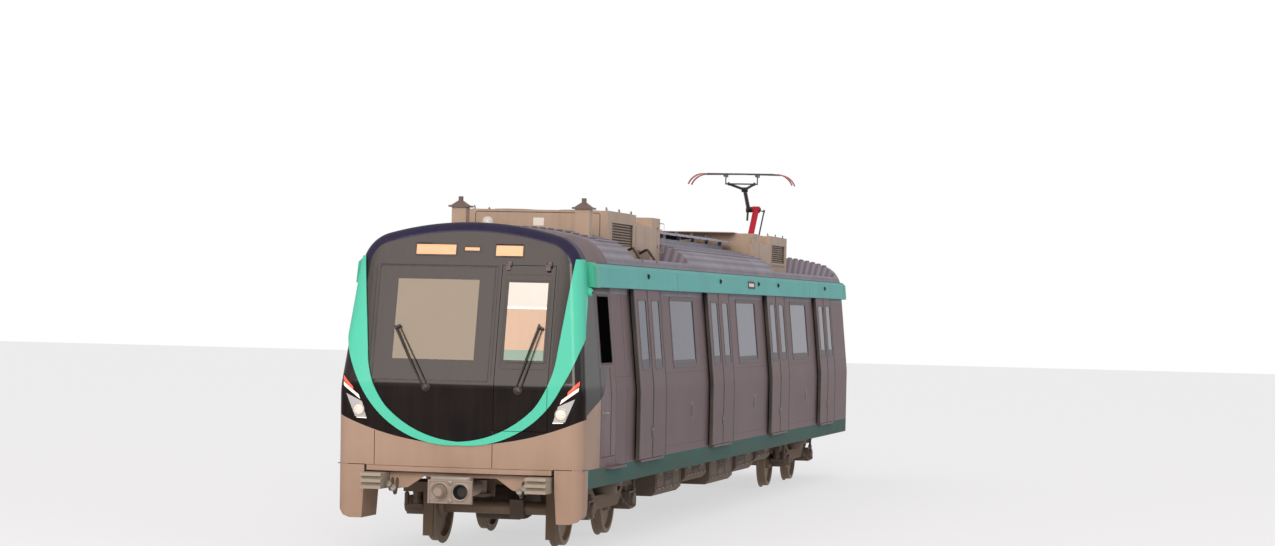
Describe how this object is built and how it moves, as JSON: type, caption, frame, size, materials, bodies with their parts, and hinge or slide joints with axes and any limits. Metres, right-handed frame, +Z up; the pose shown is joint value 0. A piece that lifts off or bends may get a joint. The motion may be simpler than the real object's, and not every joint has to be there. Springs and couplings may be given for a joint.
{
  "type": "metro driving car",
  "caption": "Electric metro driving car with sloped cab front, outside sliding doors, powered bogies, roof equipment and a raised single-arm pantograph.",
  "frame": {"origin": "on the floor line under the middle of the car, midway between the two coupler ends", "axes": "+X to the cab end, +Y to the car's left, +Z up"},
  "size_m": [22.34, 3.08, 5.19],
  "materials": {
    "underframe_paint": "matt dark grey paint",
    "body_steel": "brushed stainless sheet",
    "roof_paint": "mid grey roof paint",
    "cab_paint": "metallic grey-beige paint",
    "bumper_paint": "metallic silver-beige paint",
    "mask_gloss": "gloss black moulding",
    "cowl_paint": "gloss navy paint",
    "aqua_paint": "gloss aqua paint",
    "glass": "tinted laminated glass",
    "lamp_lens": "clear and red lamp mouldings",
    "black_trim": "satin black",
    "climber_steel": "light grey paint",
    "band_paint": "satin teal paint",
    "sole_paint": "satin dark teal paint",
    "bright_steel": "brushed stainless",
    "bellows_rubber": "folded coated fabric",
    "cast_steel": "oiled cast steel",
    "unit_paint": "weathered beige-grey paint",
    "cover_paint": "matt grey covers",
    "aerial_plastic": "white moulding",
    "roof_metal": "dark grey frame on brown insulators",
    "case_paint": "dark grey equipment paint",
    "bench_plastic": "moulded bench",
    "lining_paint": "light grey lining",
    "desk_plastic": "dark textured moulding",
    "seat_fabric": "dark woven fabric",
    "bogie_paint": "dark grey bogie paint with dust",
    "spring_rubber": "black rubber springs and cast boxes",
    "drive_paint": "dark grey motor paint",
    "wheel_steel": "rolled steel, bright at the tread",
    "arm_red": "gloss red paint",
    "arm_black": "satin black paint"
  },
  "bodies": {
    "carbody": {"underframe": "underframe_paint", "side_wall_left": "body_steel", "side_wall_right": "body_steel", "roof_tray": "roof_paint", "roof_sections": "roof_paint", "cab_shell": "cab_paint", "front_bumper": "bumper_paint", "front_mask": "mask_gloss", "roof_cowl": "cowl_paint", "nose_arc": "aqua_paint", "windscreen": "glass", "front_lights": "lamp_lens", "windscreen_wiper": "black_trim", "anti_climbers": "climber_steel", "cantrail_bands": "band_paint", "sole_bands": "sole_paint", "side_windows": "glass", "door_tracks": "bright_steel", "rear_end_wall": "body_steel", "gangway_bellows": "bellows_rubber", "rear_drawbar": "cast_steel", "roof_units": "unit_paint", "roof_fittings": "cover_paint", "roof_aerial": "aerial_plastic", "vent_posts": "unit_paint", "pantograph_base": "roof_metal", "underfloor_equipment": "case_paint", "benches": "bench_plastic", "grab_rails": "bright_steel", "cab_partition": "lining_paint", "driver_desk": "desk_plastic", "driver_seat": "seat_fabric"},
    "coupler": {"coupler": "cast_steel"},
    "emergency_door": {"emergency_door": "mask_gloss", "emergency_door_glass": "glass", "emergency_door_arc": "aqua_paint", "emergency_door_wiper": "black_trim"},
    "cab_door_left": {"cab_door_left": "cab_paint"},
    "cab_door_right": {"cab_door_right": "cab_paint"},
    "partition_door": {"partition_door": "lining_paint"},
    "doors_left_fore": {"doors_left_fore": "body_steel"},
    "doors_left_aft": {"doors_left_aft": "body_steel"},
    "doors_right_fore": {"doors_right_fore": "body_steel"},
    "doors_right_aft": {"doors_right_aft": "body_steel"},
    "bogie_front": {"bogie_frame_front": "bogie_paint", "bogie_springs_front": "spring_rubber", "bogie_drives_front": "drive_paint"},
    "bogie_rear": {"bogie_frame_rear": "bogie_paint", "bogie_springs_rear": "spring_rubber", "bogie_drives_rear": "drive_paint"},
    "wheelset_1": {"wheelset_1": "wheel_steel"},
    "wheelset_2": {"wheelset_2": "wheel_steel"},
    "wheelset_3": {"wheelset_3": "wheel_steel"},
    "wheelset_4": {"wheelset_4": "wheel_steel"},
    "pantograph_lower_arm": {"pantograph_lower_arm": "arm_red"},
    "pantograph_upper_arm": {"pantograph_upper_arm": "arm_black"},
    "pantograph_head": {"pantograph_head": "arm_black"},
    "pantograph_thrust_rod": {"pantograph_thrust_rod": "arm_black"}
  },
  "joints": [
    {"name": "coupler_swing", "type": "hinge", "parent": "carbody", "child": "coupler", "pos_m": [9.7, 0, 0.757], "axis": [0, 0, 1], "range_deg": [-12, 12]},
    {"name": "emergency_door_hinge", "type": "hinge", "parent": "carbody", "child": "emergency_door", "pos_m": [10.496, 0.72, 3.35], "axis": [0, -1, 0], "range_deg": [0, 80]},
    {"name": "cab_door_left_hinge", "type": "hinge", "parent": "carbody", "child": "cab_door_left", "pos_m": [8.975, 1.285, 2], "axis": [0, 0, -1], "range_deg": [0, 80]},
    {"name": "cab_door_right_hinge", "type": "hinge", "parent": "carbody", "child": "cab_door_right", "pos_m": [8.975, -1.285, 2], "axis": [0, 0, 1], "range_deg": [0, 80]},
    {"name": "partition_door_hinge", "type": "hinge", "parent": "carbody", "child": "partition_door", "pos_m": [8.784, -0.327, 2], "axis": [0, 0, 1], "range_deg": [0, 85]},
    {"name": "doors_left_fore_slide", "type": "slide", "parent": "carbody", "child": "doors_left_fore", "axis": [1, 0, 0], "range_m": [0, 0.7]},
    {"name": "doors_left_aft_slide", "type": "slide", "parent": "carbody", "child": "doors_left_aft", "axis": [-1, 0, 0], "range_m": [0, 0.7]},
    {"name": "doors_right_fore_slide", "type": "slide", "parent": "carbody", "child": "doors_right_fore", "axis": [1, 0, 0], "range_m": [0, 0.7]},
    {"name": "doors_right_aft_slide", "type": "slide", "parent": "carbody", "child": "doors_right_aft", "axis": [-1, 0, 0], "range_m": [0, 0.7]},
    {"name": "bogie_front_swivel", "type": "hinge", "parent": "carbody", "child": "bogie_front", "pos_m": [7.5, 0, 0.6], "axis": [0, 0, 1], "range_deg": [-4, 4]},
    {"name": "bogie_rear_swivel", "type": "hinge", "parent": "carbody", "child": "bogie_rear", "pos_m": [-7.5, 0, 0.6], "axis": [0, 0, 1], "range_deg": [-4, 4]},
    {"name": "wheelset_1_roll", "type": "hinge", "parent": "bogie_front", "child": "wheelset_1", "pos_m": [8.7, 0, 0.458], "axis": [0, 1, 0], "continuous": true},
    {"name": "wheelset_2_roll", "type": "hinge", "parent": "bogie_front", "child": "wheelset_2", "pos_m": [6.3, 0, 0.458], "axis": [0, 1, 0], "continuous": true},
    {"name": "wheelset_3_roll", "type": "hinge", "parent": "bogie_rear", "child": "wheelset_3", "pos_m": [-6.3, 0, 0.458], "axis": [0, 1, 0], "continuous": true},
    {"name": "wheelset_4_roll", "type": "hinge", "parent": "bogie_rear", "child": "wheelset_4", "pos_m": [-8.7, 0, 0.458], "axis": [0, 1, 0], "continuous": true},
    {"name": "pantograph_raise", "type": "hinge", "parent": "carbody", "child": "pantograph_lower_arm", "pos_m": [-8.46, 0, 3.85], "axis": [0, 1, 0], "range_deg": [-38, 12]},
    {"name": "pantograph_elbow", "type": "hinge", "parent": "pantograph_lower_arm", "child": "pantograph_upper_arm", "pos_m": [-9.33, 0, 4.633], "axis": [0, 1, 0], "range_deg": [-15.8, 50.02]},
    {"name": "pantograph_head_level", "type": "hinge", "parent": "pantograph_upper_arm", "child": "pantograph_head", "pos_m": [-7.79, 0, 5.016], "axis": [0, 1, 0], "range_deg": [-12.02, 3.8]},
    {"name": "pantograph_rod_swing", "type": "hinge", "parent": "carbody", "child": "pantograph_thrust_rod", "pos_m": [-8.63, 0.112, 3.83], "axis": [0, 1, 0], "range_deg": [-38, 12]}
  ],
  "couplings": [
    {"joint": "doors_left_aft_slide", "follows": "doors_left_fore_slide", "ratio": 1},
    {"joint": "doors_right_aft_slide", "follows": "doors_right_fore_slide", "ratio": 1},
    {"joint": "pantograph_elbow", "follows": "pantograph_raise", "ratio": -1.316},
    {"joint": "pantograph_head_level", "follows": "pantograph_raise", "ratio": 0.316},
    {"joint": "pantograph_rod_swing", "follows": "pantograph_raise", "ratio": 1}
  ]
}
